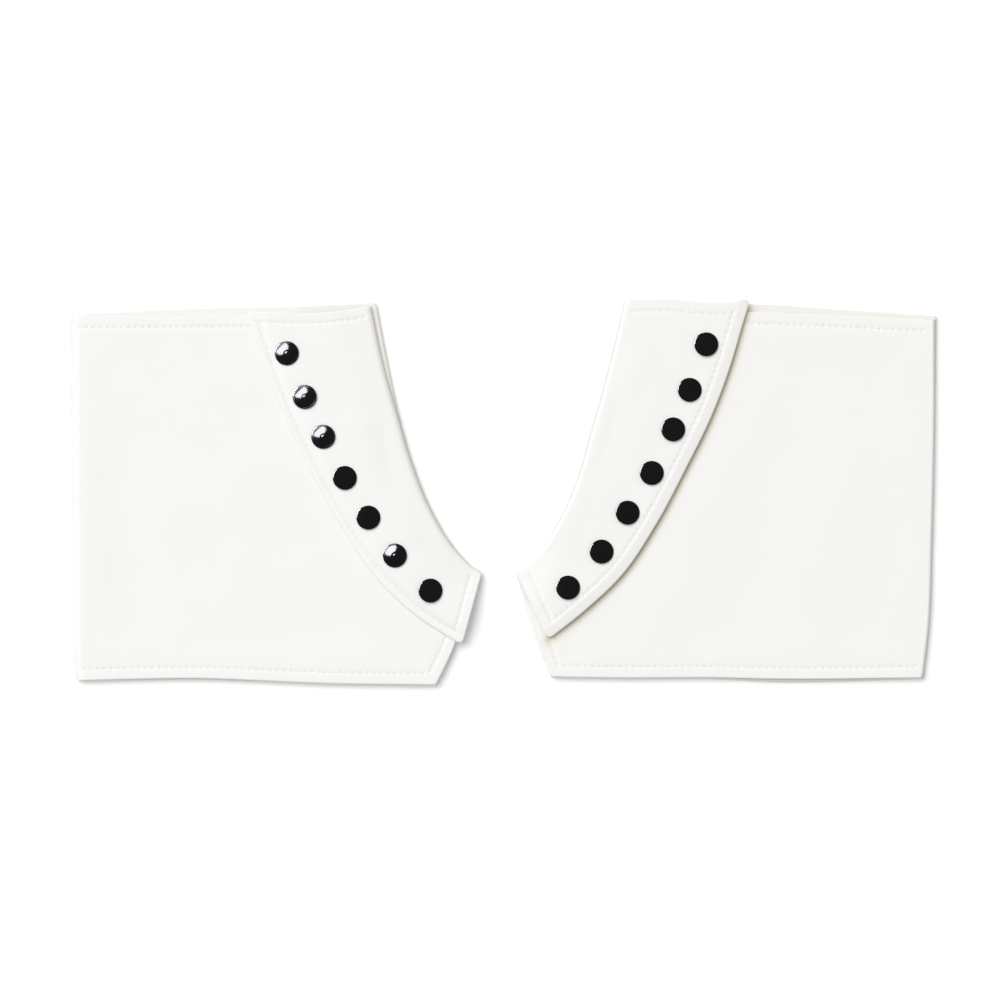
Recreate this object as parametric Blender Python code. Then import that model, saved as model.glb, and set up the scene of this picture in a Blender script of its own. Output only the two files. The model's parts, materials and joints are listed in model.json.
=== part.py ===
"""A pair of spats, each fastened by seven press snaps, laid flat with the toes towards each other.

Each spat is an inner side on the table, a quarter over its heel half and a flap over the front,
whose curved edge overlaps the quarter. Every cloth edge is turned in, so the cloth is double there.
Tables and sizes are in millimetres: x runs from the heel towards the toe, y from the foot up the
leg, z up from the table.
"""
import math

import bmesh
import bpy
import numpy as np

MM = 0.001                # metres in a millimetre

# Cloth
CLOTH = 1.2               # one layer
TURNING = 6.8             # cloth turned in along every edge
TURNING_END = 0.6         # run over which the doubled cloth thins to one layer
NOSE = 1.2                # how far in from a hemmed edge the cloth is at its full height
SEAM_ROLL = 2.2           # the same at a seamed edge, where the outer face rolls down to the seam
EDGE_LEFT = 0.5           # flat left standing on the edge of a rolled seam
EDGE_FLAT = 0.4           # share of a hem's height that stays flat on its edge
SEAM_GAP = 0.3            # between two pieces sewn together
LAY_GAP = 0.5             # between two layers that only lie on each other
LOFT = 1.2                # air under the quarter, away from its edges
FALL = 6.0                # run over which a raised edge falls to the level beside it
UNDERLAP = 26.0           # how far the quarter runs on under the flap
TIP_CLEAR = 2.0           # where the underlap's edge leaves its corners
LIFT_LEAD = 12.0          # the quarter starts to rise to its studs this far behind the closure
LIFT_RUN = 16.0           # and is up after this much
SAG_RUN = 6.0             # run over which the flap falls from its snaps' level to its closure edge
SAG_LEFT = 0.2            # how much higher than its lowest that edge stays
SNAP_ROW = [12.5, 18.5]   # folds of the flap beside its snaps, from its closure edge

# Snaps
CAP_RADIUS = 6.2
CAP_RISE = 1.9            # from the cap's underside to the middle of its dome
CAP_DOME = [(0, 0), (3.4, 0.35), (5.3, 0.9), (6.2, 1.5)]       # radius, drop below the middle
POST_RADIUS = 1.3
HOLE_RADIUS = 1.6         # in the cloth round a post
SOCKET_RADIUS = 5.0
SOCKET_HEIGHT = 1.6
CAVITY_RADIUS = 2.1
CAVITY_DEPTH = 1.3
HEAD_RADIUS = 1.7         # the stud's head, inside the cavity
FLANGE_RADIUS = 4.8
FLANGE_HEIGHT = 0.7
BACK_RADIUS = 6.0         # flat cap behind the stud
BACK_HEIGHT = 1.1
SNAP_GAP = 0.3            # between hard pieces, and between them and the cloth
CAP_SIDES = 14
STUD_SIDES = 10

# Levels above the table, worked out from the stack of layers
EDGE_TOP = 2 * CLOTH                                           # inner side, turned edge
QUARTER_EDGE = EDGE_TOP + SEAM_GAP + 2 * CLOTH
QUARTER_FIELD = CLOTH + LOFT + CLOTH
BACK_FOOT = CLOTH + SNAP_GAP
QUARTER_SNAPS = BACK_FOOT + BACK_HEIGHT + SNAP_GAP + CLOTH
FLANGE_FOOT = QUARTER_SNAPS + SNAP_GAP
SOCKET_FOOT = FLANGE_FOOT + FLANGE_HEIGHT + SNAP_GAP
SOCKET_TOP = SOCKET_FOOT + SOCKET_HEIGHT
FLAP_SNAPS = SOCKET_TOP + SNAP_GAP + CLOTH
CAP_FOOT = FLAP_SNAPS + SNAP_GAP
FLAP_FRONT = EDGE_TOP + SEAM_GAP + 2 * CLOTH
FLAP_CLOSURE = QUARTER_SNAPS + LAY_GAP + 2 * CLOTH + SAG_LEFT
FLAP_OVER_EDGE = QUARTER_EDGE + LAY_GAP + 2 * CLOTH            # over the quarter's hems

# Each spat: where its heel corner lies, which way its toe points, the points that each edge runs
# smoothly through, and its snaps' centres.
SPATS = {
    "right": dict(
        heel=(-219.555, -98.525), toe=1,
        inner_heel=[(-0.2, 2.2), (-1.2, 11), (-1.9, 24), (-2.1, 62), (-2.6, 115), (-2.7, 189.6)],
        inner_top=[(-2.7, 189.6), (32, 191.5), (70, 193), (109, 193.8), (154, 195.8)],
        inner_front=[(154, 195.8), (160, 164.6), (165.3, 140.5), (172.5, 115), (181.5, 91.9), (194.2, 70.3),
                     (207.2, 54.6)],
        inner_slant=[(207.2, 54.6), (184.6, 0.6)],
        inner_foot=[(-0.2, 2.2), (30, 2.3), (60, 2.7), (95, 1.6), (122, 0.9), (184.6, 0.6)],
        quarter_heel=[(0.1, 2), (-0.9, 11), (-1.7, 24), (-1.9, 62), (-2.4, 115), (-2.3, 188.9)],
        quarter_top=[(-2.3, 188.9), (87, 189.3), (114.5, 189.4)],
        quarter_slant=[(200.8, 46.5), (195, 20.4), (185.2, -0.2)],
        quarter_foot=[(0.1, 2), (30, 2.8), (62, 3.2), (95, 2), (122, 0.8), (185.2, -0.2)],
        flap_top=[(88, 191.2), (118, 190.2), (134, 191.1), (151.8, 193.8)],
        flap_front=[(151.8, 193.8), (158.3, 163.2), (165, 139.1), (172, 115), (181.2, 91.4), (194, 70),
                    (207.4, 54.9)],
        flap_slant=[(197.9, 20.8), (207.4, 54.9)],
        closure=[(88, 191.2), (96, 167), (109.2, 133), (121.5, 107.5), (138, 78), (155, 53.5), (172, 37),
                 (197.9, 20.8)],
        snaps=[(108.6, 169.5), (117.8, 147.1), (127.3, 126.6), (138.4, 105.5), (150.5, 85.1),
               (164.1, 65.6), (182.4, 47.6)],
    ),
    "left": dict(
        heel=(221.855, -95.975), toe=-1,
        inner_heel=[(6.2, 0.2), (4.8, 10), (3.2, 25), (1.5, 70), (0.2, 130), (-0.4, 186.4)],
        inner_top=[(-0.4, 186.4), (52, 190), (93, 192.5), (125, 192.6), (159.3, 194)],
        inner_front=[(159.3, 194), (164, 174.7), (170.1, 150.4), (177.3, 124.9), (184.4, 100.6), (194.7, 78.2),
                     (215.7, 51.7)],
        inner_slant=[(215.7, 51.7), (206.9, 26), (197.4, 0.9)],
        inner_foot=[(6.2, 0.2), (52, -1.2), (86, -1.3), (112, 0.1), (160, 0.4), (197.4, 0.9)],
        quarter_heel=[(6.5, 0.6), (5.1, 10), (3.4, 25), (1.7, 70), (0.4, 130), (0.2, 184.4)],
        quarter_top=[(0.2, 184.4), (61, 187.3), (94, 188.5), (121.5, 189.2)],
        quarter_slant=[(208.2, 44.6), (202.8, 16.8), (197, 1.1)],
        quarter_foot=[(6.5, 0.6), (86, 0.1), (112, 0.7), (160, 0.6), (197, 1.1)],
        flap_top=[(94.6, 194.2), (97.6, 194.9), (104.4, 193.5), (115, 193.2), (134, 194.7), (158.9, 194.6)],
        flap_front=[(158.9, 194.6), (163.4, 174.7), (169.5, 150.4), (176.7, 124.9), (183.9, 100.6),
                    (194.3, 78.2), (215.7, 51.6)],
        flap_slant=[(198.6, 19.6), (215.7, 51.6)],
        closure=[(94.6, 194.2), (98.4, 181.8), (105.4, 158.5), (114.6, 134.3), (126.8, 109.3), (142.7, 79.4),
                 (160.8, 52.6), (179, 35.2), (198.6, 19.6)],
        snaps=[(117.3, 171.6), (125.8, 148.2), (134.3, 127.9), (145.3, 105.5), (157.7, 85.1),
               (171.1, 65.1), (188.3, 46.6)],
    ),
}


def clear_scene():
    for item in list(bpy.data.objects):
        bpy.data.objects.remove(item, do_unlink=True)


def finish(name, colour, roughness):
    """A plain finish in one linear colour."""
    made = bpy.data.materials.new(name)
    made.use_nodes = True
    shader = made.node_tree.nodes["Principled BSDF"]
    shader.inputs["Base Color"].default_value = (*colour, 1)
    shader.inputs["Roughness"].default_value = roughness
    shader.inputs["Metallic"].default_value = 0
    return made


def smoothstep(value):
    value = np.clip(value, 0, 1)
    return value * value * (3 - 2 * value)


def smooth_curve(points, steps=24):
    """A dense smooth curve through a few points."""
    points = np.array(points, float)
    along = np.concatenate([[0], np.cumsum(np.linalg.norm(np.diff(points, axis=0), axis=1))])
    slope = np.gradient(points, along, axis=0)
    pieces = []
    for i in range(len(points) - 1):
        run = along[i + 1] - along[i]
        t = np.linspace(0, 1, steps, endpoint=False)[:, None]
        pieces.append(points[i] * (2 * t**3 - 3 * t**2 + 1) + slope[i] * run * (t**3 - 2 * t**2 + t)
                      + points[i + 1] * (3 * t**2 - 2 * t**3) + slope[i + 1] * run * (t**3 - t**2))
    return np.vstack(pieces + [points[-1:]])


def lengths(curve):
    return np.concatenate([[0], np.cumsum(np.linalg.norm(np.diff(curve, axis=0), axis=1))])


def places(curve, near_start, near_end, middle, corner=None):
    """Points on a curve: at set runs from each end, evenly between, and at a corner if it has one."""
    along = lengths(curve)
    total = along[-1]
    if corner is None:
        between = np.linspace(near_start[-1], total - near_end[-1], sum(middle) + 1)
    else:
        between = np.concatenate([np.linspace(near_start[-1], corner, middle[0] + 1),
                                  np.linspace(corner, total - near_end[-1], middle[1] + 1)[1:]])
    runs = np.concatenate([near_start[:-1], between, total - np.array(near_end[:-1])[::-1]])
    points = np.stack([np.interp(runs, along, curve[:, axis]) for axis in (0, 1)], axis=1)
    return points, runs / total


def panel_grid(sides, insets, middle, corner=None):
    """A grid over a panel; sides are its foot, top, left and right edges, with insets for each."""
    foot, top, left, right = sides
    on_foot, on_top, on_left, on_right = insets
    across, up = middle
    grid = patch(places(foot, on_left, on_right, across), places(top, on_left, on_right, across),
                 places(left, on_foot, on_top, up), places(right, on_foot, on_top, up, corner))
    turned_over = grid.transpose(1, 0, 2)
    snug(grid, left, on_left)
    snug(grid[::-1], right, on_right)
    snug(turned_over, foot, on_foot)
    snug(turned_over[::-1], top, on_top)
    return grid


def patch(bottom, top, left, right):
    """A grid of points that fills four sides; each side is a pair of points and their fractions."""
    (low, low_at), (high, high_at), (near, near_at), (far, far_at) = bottom, top, left, right
    across = ((low_at + high_at) / 2)[:, None, None]
    up = ((near_at + far_at) / 2)[None, :, None]
    ruled = low[:, None] * (1 - up) + high[:, None] * up + near[None] * (1 - across) + far[None] * across
    corners = ((low[0] * (1 - across) + low[-1] * across) * (1 - up)
               + (high[0] * (1 - across) + high[-1] * across) * up)
    return ruled - corners


def snug(grid, curve, insets):
    """Slide the first columns along their rows until they lie at set distances from an edge."""
    for j in range(grid.shape[1]):
        row = grid[:, j]
        along = lengths(row)
        runs = np.linspace(0, along[-1] * 0.6, 400)
        dense = np.stack([np.interp(runs, along, row[:, axis]) for axis in (0, 1)], axis=1)
        away = np.maximum.accumulate(distance(dense, curve))
        for k, inset in enumerate(insets[1:], 1):
            row[k] = [np.interp(inset, away, dense[:, axis]) for axis in (0, 1)]


def distance(points, curve):
    """How far each point is from a curve."""
    flat = points.reshape(-1, 2)
    start, end = curve[:-1], curve[1:]
    run = end - start
    t = ((flat[:, None] - start) * run).sum(2) / (run * run).sum(1)
    nearest = start + np.clip(t, 0, 1)[..., None] * run
    return np.linalg.norm(flat[:, None] - nearest, axis=2).min(1).reshape(points.shape[:-1])


def ahead_of(points, curve):
    """Signed distance from a curve that runs down the leg: positive on its toe side."""
    order = np.argsort(curve[:, 1])
    beyond = points[..., 0] - np.interp(points[..., 1], curve[order, 1], curve[order, 0])
    return np.where(beyond > 0, 1, -1) * distance(points, curve)


def offset_curve(curve, width):
    """The curve moved sideways, towards the toe."""
    run = np.gradient(curve, axis=0)
    side = np.stack([-run[:, 1], run[:, 0]], axis=1) / np.linalg.norm(run, axis=1)[:, None]
    return curve + side * width


def wall(inset):
    """Cloth thickness at a distance from the nearest edge."""
    return CLOTH * (2 - smoothstep((inset - TURNING) / TURNING_END))


def nose(inset, reach):
    """How full a rounded edge is, from 0 on the edge to 1 once past its reach."""
    return np.sqrt(np.clip(1 - (1 - np.clip(inset / reach, 0, 1)) ** 2, 0, 1))


def seam_roll(inset):
    """How far the outer face has turned towards the seam at a distance from a seamed edge."""
    return (2 * CLOTH - EDGE_LEFT) * (1 - nose(inset, SEAM_ROLL))


def hemmed(top, bottom, inset):
    """Round a turned edge: both faces close in on the middle of the fold."""
    middle = (top + bottom) / 2
    full = EDGE_FLAT + (1 - EDGE_FLAT) * nose(inset, NOSE)
    return middle + (top - middle) * full, middle + (bottom - middle) * full


def build_panel(name, grid, top, bottom, spat, material):
    """A closed solid of cloth between two heights over a grid of places."""
    columns, rows = grid.shape[:2]
    mesh = bmesh.new()
    levels = []
    for height in (top, bottom):
        x = spat["heel"][0] + spat["toe"] * grid[..., 0]
        y = spat["heel"][1] + grid[..., 1]
        levels.append([[mesh.verts.new((x[i, j] * MM, y[i, j] * MM, height[i, j] * MM))
                        for j in range(rows)] for i in range(columns)])
    upper, lower = levels
    for i in range(columns - 1):
        for j in range(rows - 1):
            mesh.faces.new((upper[i][j], upper[i + 1][j], upper[i + 1][j + 1], upper[i][j + 1]))
            mesh.faces.new((lower[i][j], lower[i][j + 1], lower[i + 1][j + 1], lower[i + 1][j]))
    ring = ([(i, 0) for i in range(columns)] + [(columns - 1, j) for j in range(1, rows)]
            + [(i, rows - 1) for i in range(columns - 2, -1, -1)] + [(0, j) for j in range(rows - 2, 0, -1)])
    for (i, j), (m, n) in zip(ring, ring[1:] + ring[:1]):
        mesh.faces.new((upper[i][j], lower[i][j], lower[m][n], upper[m][n]))
    if spat["toe"] < 0:
        bmesh.ops.reverse_faces(mesh, faces=mesh.faces)
    bmesh.ops.triangulate(mesh, faces=mesh.faces)
    data = bpy.data.meshes.new(name)
    mesh.to_mesh(data)
    mesh.free()
    data.materials.append(material)
    panel = bpy.data.objects.new(name, data)
    bpy.context.collection.objects.link(panel)
    panel.data.shade_smooth()
    panel.data.set_sharp_from_angle(angle=math.radians(40))
    return panel


def punch(panel, centres, foot, head):
    """Holes for the snaps' posts."""
    mesh = bmesh.new()
    for x, y in centres:
        made = bmesh.ops.create_cone(mesh, cap_ends=True, segments=STUD_SIDES, radius1=HOLE_RADIUS * MM,
                                     radius2=HOLE_RADIUS * MM, depth=(head - foot) * MM)
        bmesh.ops.translate(mesh, verts=made["verts"], vec=(x * MM, y * MM, (foot + head) / 2 * MM))
    data = bpy.data.meshes.new(panel.name + "_punch")
    mesh.to_mesh(data)
    mesh.free()
    punches = bpy.data.objects.new(data.name, data)
    bpy.context.collection.objects.link(punches)
    punches.hide_render = True
    punches.display_type = "WIRE"
    cut = panel.modifiers.new("holes", "BOOLEAN")
    cut.operation = "DIFFERENCE"
    cut.solver = "EXACT"
    cut.object = punches


def turned(name, profile, sides, place, material):
    """A solid turned about a vertical axis from a profile that starts and ends on the axis."""
    mesh = bmesh.new()
    rings = []
    for radius, height in profile:
        if radius == 0:
            rings.append([mesh.verts.new((0, 0, height * MM))] * sides)
            continue
        angles = [2 * math.pi * k / sides for k in range(sides)]
        rings.append([mesh.verts.new((radius * math.cos(a) * MM, radius * math.sin(a) * MM, height * MM))
                      for a in angles])
    for one, other in zip(rings, rings[1:]):
        for k in range(sides):
            corners = [one[k], one[(k + 1) % sides], other[(k + 1) % sides], other[k]]
            mesh.faces.new([v for i, v in enumerate(corners) if v not in corners[:i]])
    bmesh.ops.recalc_face_normals(mesh, faces=mesh.faces)
    data = bpy.data.meshes.new(name)
    mesh.to_mesh(data)
    mesh.free()
    data.materials.append(material)
    piece = bpy.data.objects.new(name, data)
    piece.location = (place[0] * MM, place[1] * MM, 0)
    bpy.context.collection.objects.link(piece)
    piece.data.shade_smooth()
    piece.data.set_sharp_from_angle(angle=math.radians(40))
    return piece


def outline(spat):
    """Every edge of a spat as a smooth curve, with the hidden underlap edge worked out."""
    curves = {edge: smooth_curve(points) for edge, points in spat.items()
              if edge not in ("heel", "toe", "snaps")}
    reach = offset_curve(curves["closure"], UNDERLAP)
    tip, top = curves["quarter_slant"][0], curves["quarter_top"][-1]
    keep = (reach[:, 1] > tip[1] + TIP_CLEAR) & (reach[:, 1] < top[1] - TIP_CLEAR)
    curves["underlap_reach"] = reach
    curves["underlap"] = np.vstack([top, reach[keep], tip])
    return curves


def inner_side(side, spat, curves, material):
    """The inner side, flat on the table, with its edges turned in on top of it."""
    near = [0, NOSE, TURNING, TURNING + TURNING_END]
    roll = [0, SEAM_ROLL / 3, SEAM_ROLL, TURNING, TURNING + TURNING_END]
    slant = curves["inner_slant"][::-1]
    front = np.vstack([slant, curves["inner_front"][::-1][1:]])
    grid = panel_grid((curves["inner_foot"], curves["inner_top"], curves["inner_heel"], front),
                      (near, near, roll, roll), ((6,), (2, 6)), lengths(slant)[-1])
    seams = np.minimum(distance(grid, curves["inner_heel"]), distance(grid, curves["inner_front"]))
    hems = np.minimum(distance(grid, curves["inner_top"]), distance(grid, curves["inner_foot"]))
    hems = np.minimum(hems, distance(grid, slant))
    thick = wall(np.minimum(seams, hems))
    top, bottom = hemmed(thick, 0 * thick, hems)
    bottom = np.minimum(bottom + seam_roll(seams), top - EDGE_LEFT)
    build_panel(side + "_inner", grid, top, bottom, spat, material)


def quarter_levels(points, curves):
    """Height of the quarter's outer face over each point."""
    edges = [distance(points, curves[edge]) for edge in ("quarter_heel", "quarter_top", "quarter_foot",
                                                         "quarter_slant")]
    raised = smoothstep((TURNING + FALL - np.min(edges, axis=0)) / FALL)
    lifted = smoothstep((ahead_of(points, curves["closure"]) + LIFT_LEAD) / LIFT_RUN)
    high = QUARTER_FIELD + (QUARTER_EDGE - QUARTER_FIELD) * raised
    return np.maximum(high, QUARTER_FIELD + (QUARTER_SNAPS - QUARTER_FIELD) * lifted)


def quarter(side, spat, curves, material):
    """The outer side behind the closure, with its underlap."""
    near = [0, NOSE, TURNING, TURNING + TURNING_END, TURNING + FALL]
    roll = [0, SEAM_ROLL / 3, SEAM_ROLL, TURNING, TURNING + TURNING_END, TURNING + FALL]
    slant = curves["quarter_slant"][::-1]
    front = np.vstack([slant, curves["underlap"][::-1][1:]])
    grid = panel_grid((curves["quarter_foot"], curves["quarter_top"], curves["quarter_heel"], front),
                      (near, near, roll, near), ((6,), (2, 7)), lengths(slant)[-1])
    top = quarter_levels(grid, curves)
    seam = distance(grid, curves["quarter_heel"])
    hems = np.minimum(distance(grid, curves["quarter_top"]), distance(grid, curves["quarter_foot"]))
    hems = np.minimum(hems, distance(grid, slant))
    bottom = top - wall(np.minimum(seam, hems))
    top, bottom = hemmed(top, bottom, hems)
    top = np.maximum(top - seam_roll(seam), bottom + EDGE_LEFT)
    panel = build_panel(side + "_quarter", grid, top, bottom, spat, material)
    punch(panel, snap_places(spat), BACK_FOOT, SOCKET_FOOT)


def flap_levels(points, curves):
    """Height of the flap's outer face over each point."""
    inside = ahead_of(points, curves["closure"])
    over = smoothstep((FALL + CLOTH - ahead_of(points, curves["underlap_reach"])) / FALL)
    over = over * smoothstep(distance(points, curves["flap_front"]) / TURNING)
    crossing = np.minimum(distance(points, curves["flap_top"]), distance(points, curves["flap_slant"]))
    raised = smoothstep((TURNING + FALL - crossing) / FALL)
    base = FLAP_CLOSURE + (FLAP_SNAPS - FLAP_CLOSURE) * smoothstep(inside / SAG_RUN)
    base = np.maximum(base, FLAP_CLOSURE + (FLAP_OVER_EDGE - FLAP_CLOSURE) * raised)
    return FLAP_FRONT + (base - FLAP_FRONT) * over


def flap(side, spat, curves, material):
    """The outer side in front of the closure."""
    near = [0, NOSE, TURNING, TURNING + TURNING_END]
    roll = [0, SEAM_ROLL / 3, SEAM_ROLL, TURNING, TURNING + TURNING_END]
    row = [0, NOSE, TURNING, TURNING + TURNING_END, *SNAP_ROW, UNDERLAP - TIP_CLEAR]
    grid = panel_grid((curves["flap_slant"], curves["flap_top"], curves["closure"][::-1],
                       curves["flap_front"][::-1]), (near, near, row, roll), ((1,), (9,)))
    top = flap_levels(grid, curves)
    seam = distance(grid, curves["flap_front"])
    hems = np.minimum(distance(grid, curves["flap_top"]), distance(grid, curves["flap_slant"]))
    hems = np.minimum(hems, distance(grid, curves["closure"]))
    bottom = top - wall(np.minimum(seam, hems))
    top, bottom = hemmed(top, bottom, hems)
    top = np.maximum(top - seam_roll(seam), bottom + EDGE_LEFT)
    panel = build_panel(side + "_flap", grid, top, bottom, spat, material)
    punch(panel, snap_places(spat), SOCKET_TOP, CAP_FOOT)


def snap_places(spat):
    return [(spat["heel"][0] + spat["toe"] * x, spat["heel"][1] + y) for x, y in spat["snaps"]]


def snap(side, number, place, material):
    """The visible half: domed cap, post and socket in one."""
    dome = [(radius, CAP_FOOT + CAP_RISE - drop) for radius, drop in CAP_DOME]
    profile = dome + [(CAP_RADIUS, CAP_FOOT), (POST_RADIUS, CAP_FOOT), (POST_RADIUS, SOCKET_TOP),
                      (SOCKET_RADIUS, SOCKET_TOP), (SOCKET_RADIUS, SOCKET_FOOT),
                      (CAVITY_RADIUS, SOCKET_FOOT), (CAVITY_RADIUS, SOCKET_FOOT + CAVITY_DEPTH),
                      (0, SOCKET_FOOT + CAVITY_DEPTH)]
    turned(f"{side}_snap_{number}", profile, CAP_SIDES, place, material)


def stud(side, number, place, material):
    """The hidden half: head, flange, post and flat back cap in one."""
    head = SOCKET_FOOT + CAVITY_DEPTH - SNAP_GAP
    flange = FLANGE_FOOT + FLANGE_HEIGHT
    back = BACK_FOOT + BACK_HEIGHT
    profile = [(0, head), (HEAD_RADIUS, head), (HEAD_RADIUS, flange), (FLANGE_RADIUS, flange),
               (FLANGE_RADIUS, FLANGE_FOOT), (POST_RADIUS, FLANGE_FOOT), (POST_RADIUS, back),
               (BACK_RADIUS, back), (BACK_RADIUS, BACK_FOOT), (0, BACK_FOOT)]
    turned(f"{side}_stud_{number}", profile, STUD_SIDES, place, material)


def main():
    clear_scene()
    cloth = finish("white_cloth", (0.90, 0.90, 0.87), 0.85)
    plastic = finish("black_plastic", (0.008, 0.008, 0.012), 0.15)
    for side, spat in SPATS.items():
        curves = outline(spat)
        inner_side(side, spat, curves, cloth)
        quarter(side, spat, curves, cloth)
        flap(side, spat, curves, cloth)
        for number, place in enumerate(snap_places(spat), 1):
            snap(side, number, place, plastic)
            stud(side, number, place, plastic)


main()
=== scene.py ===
# Pair of spats laid flat, toe to toe: white cotton duck, turned and stitched, with black press snaps.
# Lengths in the tables are millimetres; x runs from the heel to the toe and y from the foot up the leg.
import json
import math

import bmesh
import bpy
import numpy as np
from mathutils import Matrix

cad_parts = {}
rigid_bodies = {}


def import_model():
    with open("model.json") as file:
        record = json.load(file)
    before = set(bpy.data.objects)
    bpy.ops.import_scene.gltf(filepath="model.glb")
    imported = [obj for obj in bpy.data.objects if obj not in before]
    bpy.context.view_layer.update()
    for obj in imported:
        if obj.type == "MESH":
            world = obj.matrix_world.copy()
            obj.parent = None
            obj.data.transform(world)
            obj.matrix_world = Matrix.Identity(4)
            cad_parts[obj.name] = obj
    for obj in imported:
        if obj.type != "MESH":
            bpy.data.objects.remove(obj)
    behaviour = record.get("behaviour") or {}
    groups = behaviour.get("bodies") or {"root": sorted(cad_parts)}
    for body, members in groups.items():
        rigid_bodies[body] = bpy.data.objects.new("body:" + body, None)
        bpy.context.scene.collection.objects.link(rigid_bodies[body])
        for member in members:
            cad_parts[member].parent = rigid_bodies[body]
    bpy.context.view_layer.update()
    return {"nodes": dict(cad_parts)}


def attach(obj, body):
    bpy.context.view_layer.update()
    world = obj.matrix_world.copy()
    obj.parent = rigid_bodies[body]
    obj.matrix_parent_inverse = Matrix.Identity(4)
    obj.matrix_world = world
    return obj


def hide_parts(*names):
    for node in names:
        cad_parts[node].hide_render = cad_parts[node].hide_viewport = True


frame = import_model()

mm = 0.001
chance = np.random.default_rng(11)
print("frame loaded:", len(frame["nodes"]), "nodes")


def deselectAll():
    if bpy.context.object and bpy.context.object.mode != "OBJECT":
        bpy.ops.object.mode_set(mode="OBJECT")
    bpy.ops.object.select_all(action="DESELECT")


def pick(*pieces):  # select just these, the first one active
    deselectAll()
    for piece in pieces:
        piece.select_set(True)
    bpy.context.view_layer.objects.active = pieces[0]


def ease(value):
    value = np.clip(value, 0, 1)
    return value * value * (3 - 2 * value)


def smoothCurve(points, steps=20):
    points = np.array(points, float)
    at = runAlong(points)
    slope = np.gradient(points, at, axis=0)
    parts = []
    for i in range(len(points) - 1):
        gap = at[i + 1] - at[i]
        t = np.linspace(0, 1, steps, endpoint=False)[:, None]
        parts.append(points[i] * (2 * t**3 - 3 * t**2 + 1) + slope[i] * gap * (t**3 - 2 * t**2 + t)
                     + points[i + 1] * (3 * t**2 - 2 * t**3) + slope[i + 1] * gap * (t**3 - t**2))
    return np.vstack(parts + [points[-1:]])


def runAlong(curve):
    return np.concatenate([[0], np.cumsum(np.linalg.norm(np.diff(curve, axis=0), axis=1))])


def pointsAt(curve, at):
    along = runAlong(curve)
    return np.stack([np.interp(at, along, curve[:, axis]) for axis in (0, 1)], axis=-1)


def away(points, curve):  # distance of each point from a curve
    flat = points.reshape(-1, 2)
    start, step = curve[:-1], np.diff(curve, axis=0)
    t = ((flat[:, None] - start) * step).sum(2) / (step * step).sum(1)
    nearest = start + np.clip(t, 0, 1)[..., None] * step
    return np.linalg.norm(flat[:, None] - nearest, axis=2).min(1).reshape(points.shape[:-1])


def ahead(points, curve):  # the same, with a minus sign on the heel side
    order = np.argsort(curve[:, 1])
    beyond = points[..., 0] - np.interp(points[..., 1], curve[order, 1], curve[order, 0])
    return np.where(beyond > 0, 1, -1) * away(points, curve)


def sideways(curve, width):
    step = np.gradient(curve, axis=0)
    side = np.stack([-step[:, 1], step[:, 0]], axis=1) / np.linalg.norm(step, axis=1)[:, None]
    return curve + side * width


# The pattern pieces, as edges that run smoothly through a few points. heel and toe place a spat on the table
# and say which way it points. age is the soil all over. The heel, front and top shares mix the cloth towards
# a tan along those edges: painted warm shade on the heel or front seam that lies in shadow, with a little
# soil on the other, and a darker tint along the inner's top. The corners are radii.

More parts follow.
